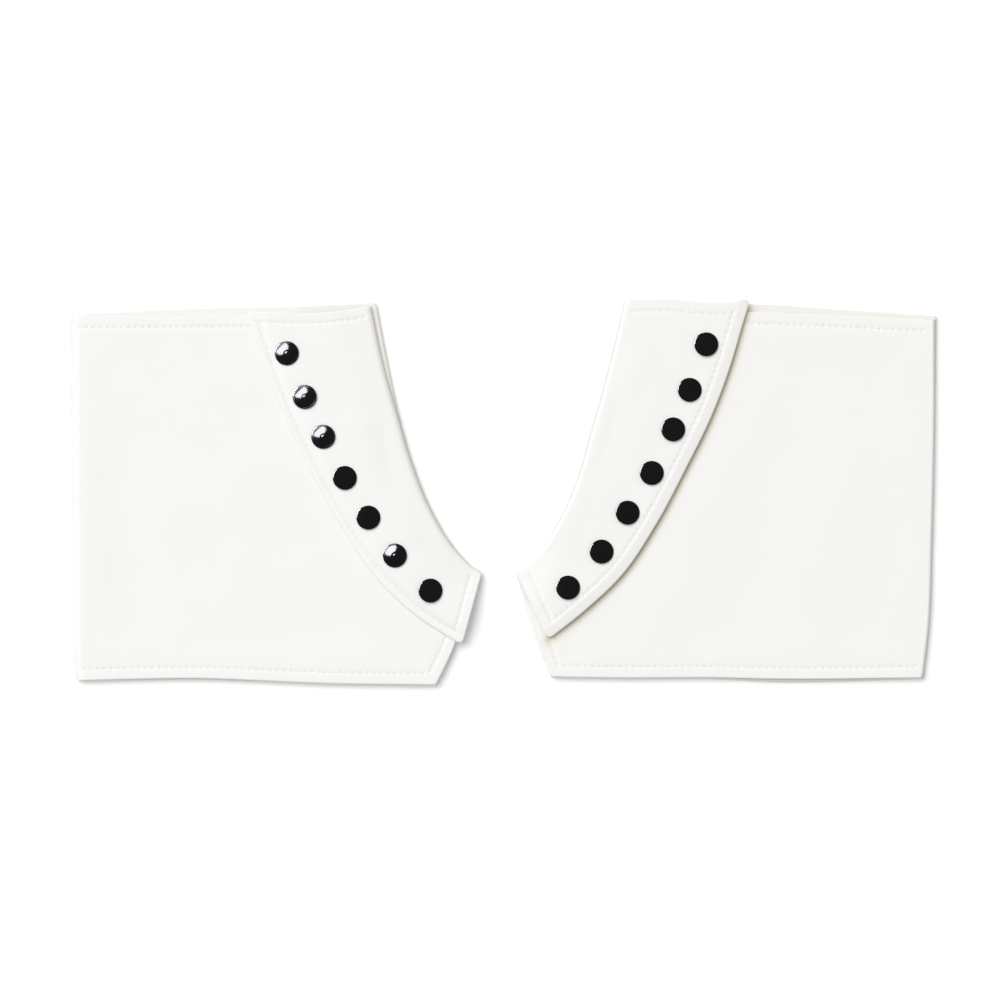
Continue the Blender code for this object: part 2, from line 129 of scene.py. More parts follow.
spats = {
    "right": dict(
        # the front seam lies in shadow and gets painted warm shade; the heel a little soil
        heel=(-219.555, -98.525), toe=1, age=0.0, heelSoil=0.1, frontSoil=0.6, topSoil=0.16, heelCorner=1.1,
        tipCorner=2.0,
        innerHeel=[(-0.2, 1.4), (-1.2, 11), (-1.9, 24), (-2.1, 62), (-2.6, 115), (-2.7, 189.6)],
        innerTop=[(-2.7, 189.6), (32, 191.5), (70, 193), (109, 193.8), (154, 195.8)],
        innerFront=[(154, 195.8), (160, 164.6), (165.3, 140.5), (172.5, 115), (181.5, 91.9), (194.2, 70.3),
                    (201.1, 62.3), (204.7, 59.1), (208.7, 56.7)],
        innerSlant=[(208.7, 56.7), (184.6, -0.2)],
        innerFoot=[(-0.2, 1.4), (30, 1.5), (60, 1.9), (95, 0.8), (122, 0.1), (184.6, -0.2)],
        quarterHeel=[(0.1, 1.2), (-0.9, 11), (-1.7, 24), (-1.9, 62), (-2.4, 115), (-2.3, 188.9)],
        quarterTop=[(-2.3, 188.9), (87, 189.3), (114.5, 189.4)],
        quarterSlant=[(200.8, 46.5), (195, 20.4), (185.2, -1.0)],
        quarterFoot=[(0.1, 1.2), (30, 2), (62, 2.4), (95, 1.2), (122, 0), (185.2, -1.0)],
        flapTop=[(88, 191.2), (118, 190.2), (134, 191.1), (151.8, 193.8)],
        flapFront=[(151.8, 193.8), (158.3, 163.2), (165, 139.1), (172, 115), (181.2, 91.4), (194, 70),
                   (201, 62.3), (204.6, 59.2), (208.9, 57)],
        flapSlant=[(198.6, 19.4), (208.9, 57)],
        closure=[(88, 191.2), (96, 167), (109.2, 133), (121.5, 107.5), (138, 78), (155, 53.5), (172, 37),
                 (198.6, 19.4)],
        snaps=[(108.6, 169.5), (117.8, 147.1), (127.3, 126.6), (138.4, 105.5), (150.5, 85.1),
               (164.1, 65.6), (182.4, 47.6)],
    ),
    "left": dict(
        # the heel seam lies in shadow and gets painted warm shade; the front a little soil
        heel=(221.855, -95.975), toe=-1, age=0.02, heelSoil=0.6, frontSoil=0.1, topSoil=0.26, heelCorner=1.7,
        tipCorner=2.6,
        innerHeel=[(5.2, -0.3), (4.0, 10), (2.4, 25), (0.7, 70), (-0.6, 130), (-1.2, 186.4)],
        innerTop=[(-1.2, 186.4), (52, 190), (93, 192.5), (125, 192.6), (159.3, 194)],
        innerFront=[(159.3, 194), (164, 174.7), (170.1, 150.4), (177.3, 124.9), (184.4, 100.6), (194.7, 78.2),
                    (207.1, 60.9), (211.1, 57.7), (215.7, 55.4)],
        innerSlant=[(215.7, 55.4), (206.9, 26), (197.4, 0.4)],
        innerFoot=[(5.2, -0.3), (52, -1.7), (86, -1.8), (112, -0.4), (160, -0.1), (197.4, 0.4)],
        quarterHeel=[(5.5, 0.1), (4.3, 10), (2.6, 25), (0.9, 70), (-0.4, 130), (-0.6, 184.4)],
        quarterTop=[(-0.6, 184.4), (61, 187.3), (94, 188.5), (121.5, 189.2)],
        quarterSlant=[(208.2, 44.6), (202.8, 16.8), (197, 0.6)],
        quarterFoot=[(5.5, 0.1), (86, -0.4), (112, 0.2), (160, 0.1), (197, 0.6)],
        flapTop=[(94.6, 194.2), (97.6, 194.9), (104.4, 193.5), (115, 193.2), (134, 194.7), (158.9, 194.6)],
        flapFront=[(158.9, 194.6), (163.4, 174.7), (169.5, 150.4), (176.7, 124.9), (183.9, 100.6),
                   (194.3, 78.2), (207, 60.9), (211, 57.7), (215.8, 55.5)],
        flapSlant=[(198.6, 19.6), (215.8, 55.5)],
        closure=[(94.6, 194.2), (98.4, 181.8), (105.4, 158.5), (114.6, 134.3), (126.8, 109.3), (142.7, 79.4),
                 (160.8, 52.6), (179, 35.2), (198.6, 19.6)],
        snaps=[(117.3, 171.6), (125.8, 148.2), (134.3, 127.9), (145.3, 105.5), (157.7, 85.1),
               (171.1, 65.1), (188.3, 46.6)],
    ),
}

cloth = dict(
    thick=1.2,            # one layer of cotton duck
    turning=6.8,          # turned in along an edge
    gap=0.3,              # between pieces sewn together
    underlap=26.0,        # quarter running on under the flap
    pressed=0.8,          # share of two layers' thickness left in a pressed hem
    nose=0.32,            # a hem's fold is round over this much
    field=4.7,            # quarter, away from its edges
    settle=26.0,          # run over which its hems' height dies away
    snapBed=4.1,          # quarter where the studs sit
)
hemTop = 2 * cloth["thick"]                                # two layers on the table
outerEdge = hemTop + cloth["gap"] + 2 * cloth["thick"]     # and two more on those


def edgesOf(spat):
    edges = {name: smoothCurve(points) for name, points in spat.items()
             if isinstance(points, list) and name != "snaps"}
    reach = sideways(edges["closure"], cloth["underlap"])
    tip, top = edges["quarterSlant"][0], edges["quarterTop"][-1]
    keep = (reach[:, 1] > tip[1] + 2) & (reach[:, 1] < top[1] - 2)
    edges["underlap"] = np.vstack([top, reach[keep], tip])
    return edges


# A panel's grid has four sides, with close rows beside each edge, at these insets, and wider ones between.
nearHem = [0, 0.09, 0.3, 0.8, 1.5, 2.3, 3.2, 4.1, 5.0, 6.0, 7.0, 8.2]
nearSeam = [0, 0.18, 0.45, 0.9, 1.5, 2.2, 3.0, 3.8, 4.6, 6.0]


def spaced(curve, start, end, middle, corner=None):
    total = runAlong(curve)[-1]
    if corner is None:
        between = np.linspace(start[-1], total - end[-1], sum(middle) + 1)
    else:
        between = np.concatenate([np.linspace(start[-1], corner, middle[0] + 1),
                                  np.linspace(corner, total - end[-1], middle[1] + 1)[1:]])
    at = np.concatenate([start[:-1], between, total - np.array(end[:-1])[::-1]])
    return pointsAt(curve, at), at / total


def snug(grid, curve, insets):  # slide the first rows until they lie at their set distances from an edge
    for j in range(grid.shape[1]):
        row = grid[:, j]
        dense = pointsAt(row, np.linspace(0, min(runAlong(row)[-1] * 0.6, 4 * insets[-1]), 160))
        off = np.maximum.accumulate(away(dense, curve))
        for k, inset in enumerate(insets[1:], 1):
            row[k] = [np.interp(inset, off, dense[:, axis]) for axis in (0, 1)]


def panelGrid(foot, top, left, right, near, middle, corner=None):
    onFoot, onTop, onLeft, onRight = near
    (low, lowAt), (high, highAt) = (spaced(side, onLeft, onRight, middle[:1]) for side in (foot, top))
    nearSide, nearAt = spaced(left, onFoot, onTop, middle[1:])
    farSide, farAt = spaced(right, onFoot, onTop, middle[1:], corner)
    across, up = ((lowAt + highAt) / 2)[:, None, None], ((nearAt + farAt) / 2)[None, :, None]
    grid = low[:, None] * (1 - up) + high[:, None] * up + nearSide[None] * (1 - across) + farSide[None] * across
    grid -= (low[0] * (1 - across) + low[-1] * across) * (1 - up)
    grid -= (high[0] * (1 - across) + high[-1] * across) * up
    turned = grid.transpose(1, 0, 2)
    snug(grid, left, onLeft)
    snug(grid[::-1], right, onRight)
    snug(turned, foot, onFoot)
    snug(turned[::-1], top, onTop)
    return grid


# stitching: a line at a set inset from its edge, with a hole every pitch
stitching = dict(
    pitch=3.6,
    thread=0.15,          # its radius
    sides=6,
    grooveWide=1.0,       # reach of the groove that the row pulls in
    holeWide=0.78,        # and of the dimple at each hole
    fineReach=1.5,        # the cloth's faces are finer within this of a row
    sunk=0.03,            # thread below the cloth's level
)


def stitchRow(edge, inset, others, centre):
    line = sideways(edge, inset)
    if np.linalg.norm(line[len(line) // 2] - centre) > np.linalg.norm(edge[len(edge) // 2] - centre):
        line = sideways(edge, -inset)
    clear = np.ones(len(line), bool)
    for other, margin in others:
        clear &= away(line, other) > margin
    line = line[clear]
    total = runAlong(line)[-1]
    count = round(total / stitching["pitch"])
    return line, pointsAt(line, np.linspace(0, total, count + 1))


def stitchDip(points, rows):  # how far the stitching pulls the cloth in
    dip = np.zeros(points.shape[:-1])
    for row in rows:
        off = away(points, row["line"])
        close = off < 3
        if not close.any():
            continue
        holes = np.linalg.norm(points[close][:, None] - row["holes"], axis=2).min(1)
        here = row["groove"] * np.exp(-(off[close] / stitching["grooveWide"]) ** 2)
        here += row["hole"] * np.exp(-(holes / stitching["holeWide"]) ** 2)
        dip[close] = np.maximum(dip[close], here)
    return dip


def fold(inset, reach):  # how full a rounded edge is
    return np.sqrt(np.clip(1 - (1 - np.clip(inset / reach, 0, 1)) ** 2, 0, 1))


def creased(points, creases):  # soft ridges and troughs, each from one point to another
    height = np.zeros(points.shape[:-1])
    for start, end, wide, rise in creases:
        start, end = np.array(start, float), np.array(end, float)
        step = end - start
        t = ((points - start) * step).sum(-1) / (step * step).sum()
        off = np.linalg.norm(points - start - np.clip(t, 0, 1)[..., None] * step, axis=-1)
        height += rise * np.exp(-(off / wide) ** 2) * (0.75 + 0.25 * np.cos(3 * (t - 0.4)))
    return height


def swell(points, phase, size):  # slow unevenness of cloth that has been worn and pressed
    x, y = points[..., 0], points[..., 1]
    return size * (np.sin(x / 13.1 + y / 31 + phase) * 0.35 + np.sin(y / 9.7 - x / 23 + 2.1 * phase) * 0.25
                   + np.sin(x / 5.3 + y / 7.9 + 3 * phase) * 0.06)


def gridSheet(name, grid):  # one face of a panel, still flat
    columns, rows = grid.shape[:2]
    deselectAll()
    bpy.ops.mesh.primitive_grid_add(x_subdivisions=columns - 1, y_subdivisions=rows - 1, size=1)
    sheet = bpy.context.object
    sheet.name = name
    spots = np.empty(len(sheet.data.vertices) * 3)
    sheet.data.vertices.foreach_get("co", spots)
    spots = spots.reshape(-1, 3)
    i = np.rint((spots[:, 0] + 0.5) * (columns - 1)).astype(int)
    j = np.rint((spots[:, 1] + 0.5) * (rows - 1)).astype(int)
    spots[:, :2] = grid[i, j]
    spots[:, 2] = 0
    sheet.data.vertices.foreach_set("co", spots.ravel())
    sheet.data.update()
    return sheet


def tighten(sheet, rows):  # finer faces along the stitching
    pick(sheet)
    bpy.ops.object.mode_set(mode="EDIT")
    bpy.ops.mesh.select_mode(type="FACE")
    bpy.ops.mesh.select_all(action="DESELECT")
    mesh = bmesh.from_edit_mesh(sheet.data)
    centres = np.array([face.calc_center_median()[:2] for face in mesh.faces])
    off = np.min([away(centres, row["line"]) for row in rows], axis=0)
    for face, distance in zip(mesh.faces, off):
        face.select_set(bool(distance < stitching["fineReach"]))
    bmesh.update_edit_mesh(sheet.data)
    bpy.ops.mesh.subdivide(number_cuts=3)
    bpy.ops.object.mode_set(mode="OBJECT")


def flatSpots(sheet):
    spots = np.empty(len(sheet.data.vertices) * 3)
    sheet.data.vertices.foreach_get("co", spots)
    return spots.reshape(-1, 3)


def raiseTo(sheet, spots, height):
    spots[:, 2] = height
    sheet.data.vertices.foreach_set("co", spots.ravel())


def rounded(points, corners):  # round off a panel's corners: each is its tip, a point along each edge, a radius
    points = points.copy()
    for tip, one, other, radius in corners:
        tip, one, other = (np.array(v, float) for v in (tip, one, other))
        along, across = ((v - tip) / np.linalg.norm(v - tip) for v in (one, other))
        out = []
        for edge, inward in ((along, across), (across, along)):
            normal = np.array((-edge[1], edge[0]))
            out.append(normal if normal @ inward < 0 else -normal)
        half = math.acos(np.clip(along @ across, -1, 1)) / 2
        middle = tip + (along + across) / np.linalg.norm(along + across) * radius / math.sin(half)
        v = points - middle
        share = v @ np.linalg.inv(np.array(out))
        inside = (share > 0).all(axis=1) & (np.linalg.norm(v, axis=1) < 3 * radius)
        reach = np.maximum(v @ out[0], v @ out[1])[inside]
        points[inside] = middle + v[inside] / np.linalg.norm(v[inside], axis=1)[:, None] * reach[:, None]
    return points


# A panel's worn face and hidden face start as the same grid, take their own heights and are joined at the rim.
def makePanel(name, grid, rows, faces, wornUp, tanSoilAndShade, corners, spat, grain):
    wornAndShaded, hidden = gridSheet(name, grid), gridSheet(name + "Under", grid)
    tighten(wornAndShaded, rows)
    rim = np.vstack([grid[0], grid[-1], grid[:, 0], grid[:, -1]])
    for sheet, which in ((wornAndShaded, 0 if wornUp else 1), (hidden, 1 if wornUp else 0)):
        spots = flatSpots(sheet)
        both = faces(spots[:, :2])
        onRim = np.array([np.abs(rim - spot).sum(axis=1).min() < 0.002 for spot in spots[:, :2]])
        raiseTo(sheet, spots, np.where(onRim, both[1 if wornUp else 0], both[which]))
    pick(wornAndShaded, hidden)
    bpy.ops.object.join()
    bpy.ops.object.mode_set(mode="EDIT")
    bpy.ops.mesh.select_all(action="SELECT")
    bpy.ops.mesh.remove_doubles(threshold=0.004)
    bpy.ops.object.mode_set(mode="OBJECT")
    spots = flatSpots(wornAndShaded)
    # how far the cloth is mixed towards tan: the age all over, and along edges painted warm shade in shadowed
    # seams and crevices, a little soil, and a darker tint on the inner's top and foot
    soil = spat["age"] + np.max([share * np.exp(-(away(spots[:, :2], edge) / wide) ** 2)
                                 for edge, share, wide in tanSoilAndShade], axis=0)
    wornAndShaded.data.attributes.new("soil", "FLOAT", "POINT").data.foreach_set("value", soil)
    uv = wornAndShaded.data.uv_layers.new(name="grain") if not wornAndShaded.data.uv_layers else wornAndShaded.data.uv_layers[0]
    uv.name = "grain"
    owners = np.empty(len(wornAndShaded.data.loops), int)
    wornAndShaded.data.loops.foreach_get("vertex_index", owners)
    turn = math.radians(grain)
    turned = np.array([[math.cos(turn), -math.sin(turn)], [math.sin(turn), math.cos(turn)]])
    flat = spots[owners, :2] @ turned
    uv.data.foreach_set("uv", (flat * mm).ravel())
    spots[:, :2] = rounded(spots[:, :2], corners)
    spots[:, 0] = spat["heel"][0] + spat["toe"] * spots[:, 0]
    spots[:, 1] += spat["heel"][1]
    wornAndShaded.data.vertices.foreach_set("co", (spots * mm).ravel())
    bpy.ops.object.mode_set(mode="EDIT")
    bpy.ops.mesh.select_all(action="SELECT")
    bpy.ops.mesh.normals_make_consistent(inside=False)
    bpy.ops.object.mode_set(mode="OBJECT")
    bpy.ops.object.shade_smooth()
    return wornAndShaded


def makeThread(name, rows, height, wornUp, spat):
    # one stitch is a bent capsule of thread; it is then laid between every two holes of each row
    deselectAll()
    bpy.ops.mesh.primitive_cylinder_add(vertices=stitching["sides"], radius=stitching["thread"], depth=2.0,
                                        end_fill_type="NGON", rotation=(0, math.pi / 2, 0))
    stitch = bpy.context.object
    bpy.ops.object.transform_apply(location=False, rotation=True, scale=False)
    bpy.ops.object.mode_set(mode="EDIT")
    for side in (1, -1):
        bpy.ops.mesh.select_all(action="DESELECT")
        mesh = bmesh.from_edit_mesh(stitch.data)
        for face in mesh.faces:
            face.select_set(len(face.verts) == stitching["sides"] and face.calc_center_median().x * side > 0.9)
        bmesh.update_edit_mesh(stitch.data)
        for drop, shrink in ((-0.05, 0.92), (-0.14, 0.7)):
            bpy.ops.mesh.extrude_region_move(TRANSFORM_OT_translate={"value": (side * 0.28, 0, drop)})
            bpy.ops.transform.resize(value=(shrink, shrink, shrink))
    bpy.ops.object.mode_set(mode="OBJECT")
    shape = flatSpots(stitch)
    faces = [tuple(face.vertices) for face in stitch.data.polygons]
    bpy.data.objects.remove(stitch, do_unlink=True)
    allSpots, allFaces = [], []
    for row in rows:
        for start, end in zip(row["holes"][:-1], row["holes"][1:]):
            step = end - start
            along = step / np.linalg.norm(step)
            stretch = np.linalg.norm(step) * chance.uniform(0.8, 0.86) / 3.12
            x = shape[:, 0] * stretch
            y = shape[:, 1] * chance.uniform(0.9, 1.1)
            middle = (start + end) / 2 + chance.normal(0, 0.03, 2)
            spots = middle + np.outer(x, along) + np.outer(y, (-along[1], along[0]))
            level = height(middle[None])[0] + (-1 if wornUp else 1) * stitching["sunk"]
            spots = np.column_stack([spots, level + shape[:, 2] * (1 if wornUp else -1)])
            allFaces += [tuple(v + len(allSpots) * len(shape) for v in face) for face in faces]
            allSpots.append(spots)
    spots = np.vstack(allSpots)
    spots[:, 0] = spat["heel"][0] + spat["toe"] * spots[:, 0]
    spots[:, 1] += spat["heel"][1]
    spots[:, 2] = np.maximum(spots[:, 2], 0.02)
    data = bpy.data.meshes.new(name)
    data.from_pydata((spots * mm).tolist(), [], allFaces)
    thread = bpy.data.objects.new(name, data)
    bpy.context.collection.objects.link(thread)
    pick(thread)
    bpy.ops.object.mode_set(mode="EDIT")
    bpy.ops.mesh.select_all(action="SELECT")
    bpy.ops.mesh.normals_make_consistent(inside=False)
    bpy.ops.object.mode_set(mode="OBJECT")
    bpy.ops.object.shade_smooth()
    return thread


def linear(hexValue, alpha=1.0):  # sRGB hex to linear
    parts = [int(hexValue[i:i + 2], 16) / 255 for i in (1, 3, 5)]
    return (*[c / 12.92 if c <= 0.04045 else ((c + 0.055) / 1.055) ** 2.4 for c in parts], alpha)


def addNode(tree, kind, inputs=None, **settings):
    made = tree.nodes.new(kind)
    for name, value in settings.items():
        setattr(made, name, value)
    for socket, value in (inputs or {}).items():
        if isinstance(value, bpy.types.NodeSocket):
            tree.links.new(value, made.inputs[socket])
        else:
            made.inputs[socket].default_value = value
    return made


def newMaterial(name):
    made = bpy.data.materials.new(name)
    made.use_nodes = True
    return made, made.node_tree, made.node_tree.nodes["Principled BSDF"]


def cottonDuck():
    # bleached cotton duck, plain weave, washed: a matt, slightly warm white whose threads just show up close.
    # Real threads lie 0.55 mm apart; they are drawn at 0.8 mm, because finer ones shimmer.
    # the tan is mixed in by a point attribute: soil, painted warm shade along shadowed seams and crevices, and a
    # darker tint on the inner's edges
    look = dict(thread=0.8, relief=0.03, white="#E9E8E6", dull="#E6E5E2", tanSoilAndShade="#D2CCB8")
    made, tree, shader = newMaterial("cottonDuckWoven")
    where = addNode(tree, "ShaderNodeUVMap", uv_map="grain").outputs["UV"]
    waves = []
    for way in ("X", "Y"):
        waves.append(addNode(tree, "ShaderNodeTexWave", {
            "Vector": where, "Scale": 2 * math.pi / 20 / (look["thread"] * mm), "Distortion": 0.5,
            "Detail": 1.0, "Detail Scale": 1.0}, wave_type="BANDS", bands_direction=way).outputs["Fac"])
    weave = addNode(tree, "ShaderNodeMath", {0: waves[0], 1: waves[1]}, operation="MULTIPLY").outputs[0]
    slub = addNode(tree, "ShaderNodeTexNoise", {"Vector": where, "Scale": 260, "Detail": 3.0,
                                                "Roughness": 0.6}).outputs["Fac"]
    mottle = addNode(tree, "ShaderNodeTexNoise", {"Vector": where, "Scale": 45, "Detail": 4.0}).outputs["Fac"]
    # this attribute mixes the tan in: soil and painted warm shade
    soil = addNode(tree, "ShaderNodeAttribute", attribute_name="soil").outputs["Fac"]
    tone = addNode(tree, "ShaderNodeMix", {"Factor": mottle, 6: linear(look["dull"]), 7: linear(look["white"])},
                   data_type="RGBA")
    wornAndShaded = addNode(tree, "ShaderNodeMix", {"Factor": soil, 6: tone.outputs[2], 7: linear(look["tanSoilAndShade"])},
                   data_type="RGBA")
    rough = addNode(tree, "ShaderNodeMapRange", {"Value": slub, "To Min": 0.82, "To Max": 0.97})
    relief = addNode(tree, "ShaderNodeBump", {"Height": weave, "Strength": 0.45, "Distance": look["relief"] * mm})
    nap = addNode(tree, "ShaderNodeBump", {"Height": slub, "Strength": 0.35, "Distance": 0.05 * mm,
                                           "Normal": relief.outputs[0]})
    tree.links.new(wornAndShaded.outputs[2], shader.inputs["Base Color"])
    tree.links.new(rough.outputs[0], shader.inputs["Roughness"])
    tree.links.new(nap.outputs[0], shader.inputs["Normal"])
    shader.inputs["IOR"].default_value = 1.5
    shader.inputs["Specular IOR Level"].default_value = 0.2
    shader.inputs["Sheen Weight"].default_value = 0.12
    shader.inputs["Sheen Roughness"].default_value = 0.5
    return made


def spunThread():
    # three-ply cotton sewing thread: a shade brighter and glossier than the cloth
    made, tree, shader = newMaterial("cottonThreadSpun")
    where = addNode(tree, "ShaderNodeTexCoord").outputs["Object"]
    fibre = addNode(tree, "ShaderNodeTexNoise", {"Vector": where, "Scale": 2200, "Detail": 2.0}).outputs["Fac"]
    tone = addNode(tree, "ShaderNodeMix", {"Factor": fibre, 6: linear("#DEDEDA"), 7: linear("#EAEAE7")},
                   data_type="RGBA")
    twist = addNode(tree, "ShaderNodeBump", {"Height": fibre, "Strength": 0.5, "Distance": 0.05 * mm})
    tree.links.new(tone.outputs[2], shader.inputs["Base Color"])
    tree.links.new(twist.outputs[0], shader.inputs["Normal"])
    shader.inputs["Roughness"].default_value = 0.6
    shader.inputs["IOR"].default_value = 1.5
    return made


def mouldedBlack():
    # acetal, injection moulded in a polished die: deep black with sharp highlights, barely hazed by handling
    made, tree, shader = newMaterial("acetalMouldedBlack")
    where = addNode(tree, "ShaderNodeTexCoord").outputs["Object"]
    haze = addNode(tree, "ShaderNodeTexNoise", {"Vector": where, "Scale": 420, "Detail": 5.0}).outputs["Fac"]
    fine = addNode(tree, "ShaderNodeTexNoise", {"Vector": where, "Scale": 1700, "Detail": 2.0}).outputs["Fac"]
    tone = addNode(tree, "ShaderNodeMix", {"Factor": haze, 6: linear("#020203"), 7: linear("#09090B")},
                   data_type="RGBA")
    rough = addNode(tree, "ShaderNodeMapRange", {"Value": haze, "To Min": 0.06, "To Max": 0.15})
    skin = addNode(tree, "ShaderNodeBump", {"Height": fine, "Strength": 0.08, "Distance": 0.02 * mm})
    tree.links.new(tone.outputs[2], shader.inputs["Base Color"])
    tree.links.new(rough.outputs[0], shader.inputs["Roughness"])
    tree.links.new(skin.outputs[0], shader.inputs["Normal"])
    shader.inputs["IOR"].default_value = 1.48
    shader.inputs["Specular IOR Level"].default_value = 0.18
    return made


def paperFloor():
    made, tree, shader = newMaterial("paperMattWhite")
    where = addNode(tree, "ShaderNodeTexCoord").outputs["Object"]
    fibre = addNode(tree, "ShaderNodeTexNoise", {"Vector": where, "Scale": 900, "Detail": 2.0}).outputs["Fac"]
    tone = addNode(tree, "ShaderNodeMix", {"Factor": fibre, 6: linear("#F9F9F9"), 7: linear("#FBFBFB")},
                   data_type="RGBA")
    tree.links.new(tone.outputs[2], shader.inputs["Base Color"])
    shader.inputs["Roughness"].default_value = 0.9
    shader.inputs["Specular IOR Level"].default_value = 0.1
    return made


duck, threadWhite, black = cottonDuck(), spunThread(), mouldedBlack()
print("materials made")


# The three cloth pieces of a spat
def stitchRows(edges, wanted, centre, blocks):  # blocks: edges that a row stops short of, and by how much
    rows = []
    for name, inset, groove, hole in wanted:
        others = [(edges[other], margin) for other, margin in blocks if other != name]
        line, holes = stitchRow(edges[name], inset, others, centre)
        rows.append(dict(line=line, holes=holes, groove=groove, hole=hole))
    return rows


def closeUp(top, bottom, hem, reach):  # round a folded hem: both faces close in on the middle of the fold
    middle = (top + bottom) / 2
    full = fold(hem, reach)
    return middle + (top - middle) * full, middle + (bottom - middle) * full


def layerThick(inset):
    return cloth["thick"] * (1 + (2 * cloth["pressed"] - 1) * (1 - ease((inset - cloth["turning"]) / 0.9)))


def rolled(top, low, seam, rim, profile):  # both faces run down to the seam's line
    low = rim + (low - rim) * ease(seam / 2.5)
    top = np.maximum(rim + (top - rim) * np.interp(seam, *np.array(profile).T), low)
    return top, low


# In the three looks, creases give from, to, half width and rise; seam gives the distance in and the share of the
# full height there; hems give the edge, its stitching's inset, and the depth of the groove and of each hole.
innerLook = dict(
    right=dict(creases=[((40, 30), (70, 160), 14, 0.25), ((120, 20), (105, 120), 11, 0.2)], phase=0.7),
    left=dict(creases=[((60, 40), (85, 150), 12, 0.3), ((140, 30), (150, 130), 15, 0.2)], phase=2.9),
    seam=[(0, 0), (0.18, 0.3), (0.45, 0.5), (0.9, 0.68), (1.5, 0.83), (2.2, 0.92), (3.0, 0.98), (4.6, 1)],
    hems=[("innerFoot", 5.8, 0.1, 0.3), ("innerTop", 5.8, 0.1, 0.3), ("innerSlant", 5.8, 0.1, 0.3)],
    sway=0.25,            # how uneven its middle is
    hemSwell=0.48,        # how much the hems stand up from a single layer's level
    underDip=0.8,         # share of the stitching's dip that is left against the table
    # the foot share tints the inner darker towards its foot edge, as the top share does towards its top
    footTint=0.3, toeCorner=1.8, topCorner=1.2,
)


def makeInner(side, spat, edges):
    look = innerLook[side]
    slant = edges["innerSlant"][::-1]
    front = np.vstack([slant, edges["innerFront"][::-1][1:]])
    grid = panelGrid(edges["innerFoot"], edges["innerTop"], edges["innerHeel"], front,
                     (nearHem, nearHem, nearSeam, nearSeam), (84, 24, 66), runAlong(slant)[-1])
    rows = stitchRows(edges, innerLook["hems"], np.array((100, 100)),
                      [("innerHeel", 4.2), ("innerFront", 4.2), ("innerFoot", 5.6), ("innerTop", 5.6),
                       ("innerSlant", 5.6)])

    def faces(points):
        seams = np.minimum(away(points, edges["innerHeel"]), away(points, edges["innerFront"]))
        hems = np.min([away(points, edges[hem[0]]) for hem in innerLook["hems"]], axis=0)
        inset = np.minimum(seams, hems)
        still = ease((inset - 8) / 12)
        uneven = creased(points, look["creases"]) + swell(points, look["phase"], innerLook["sway"])
        lift = still * np.maximum(0, uneven)
        top = layerThick(inset) + innerLook["hemSwell"] * (1 - ease((inset - 5) / 4)) + lift
        low = lift + stitchDip(points, rows) * innerLook["underDip"]
        top, low = closeUp(top, low, hems, cloth["nose"])
        low = hemTop - (hemTop - low) * np.interp(seams, *np.array(innerLook["seam"]).T)
        return np.maximum(top, low), low

    # tan along edges: painted warm shade on the shadowed heel or front seam, a little soil, and a darker tint
    # along the top and foot
    tanSoilAndShade = [(edges["innerHeel"], spat["heelSoil"], 0.6), (edges["innerFront"], spat["frontSoil"], 0.8),
              (edges["innerTop"], spat["topSoil"], 5.0), (edges["innerFoot"], innerLook["footTint"], 5.0)]
    foot, top, tip = spat["innerFoot"], spat["innerTop"], spat["innerSlant"]
    corners = [(foot[0], foot[1], spat["innerHeel"][1], spat["heelCorner"]),
               (foot[-1], foot[-2], slant[-1], innerLook["toeCorner"]),
               (top[-1], top[-2], spat["innerFront"][1], innerLook["topCorner"]),
               (tip[0], tip[1], spat["innerFront"][-2], spat["tipCorner"])]
    panel = makePanel(side + "InnerCloth", grid, rows, faces, False, tanSoilAndShade, corners, spat, 0)
    thread = makeThread(side + "InnerThread", rows, lambda p: faces(p)[1], False, spat)
    return panel, thread


quarterLook = dict(
    right=dict(
        creases=[((30, 40), (22, 150), 16, -0.3), ((70, 150), (95, 60), 20, 0.35), ((120, 60), (150, 25), 9, 0.2),
                 ((60, 20), (110, 28), 8, -0.15), ((60, 172), (20, 150), 9, 0.15)],
        phase=0.4,
        # flat pressed seam, then a step up to the cloth
        seam=[(0, 0), (0.18, 0.36), (0.45, 0.5), (0.9, 0.58), (1.5, 0.64), (2.2, 0.71), (3.0, 0.84), (3.8, 0.96),
              (4.6, 1)],
        # closure share: a faint painted shadow on the quarter beside the flap's closure edge
        besideFlap=0.6, closureShade=0.05,
    ),
    left=dict(
        creases=[((40, 60), (60, 140), 18, 0.3), ((100, 30), (80, 120), 16, -0.35), ((150, 20), (120, 60), 9, 0.2),
                 ((20, 30), (30, 12), 7, 0.2), ((75, 165), (30, 150), 9, -0.15)],
        phase=1.9,
        seam=[(0, 0), (0.18, 0.42), (0.45, 0.68), (0.9, 0.9), (1.5, 1.01), (2.2, 0.97), (3.0, 0.98), (4.6, 1)],
        # closure share: painted warm shadow on the quarter where the flap's closure edge casts its shadow
        besideFlap=-0.3, closureShade=1.0,
    ),
    hems=[("quarterFoot", 5.8, 0.1, 0.3), ("quarterTop", 5.9, 0.1, 0.3), ("quarterSlant", 5.6, 0.3, 0.15)],
    sway=0.42,            # how uneven its middle is
    fullness=0.05,        # how much a hem crowns between its fold and its stitching
    hemWide=5.6,
    underRun=12.0,        # run over which it settles on to the studs, once under the flap
    besideRun=26.0,       # run over which it rises or dips towards the flap, by besideFlap
    toeCorner=2.0,
)


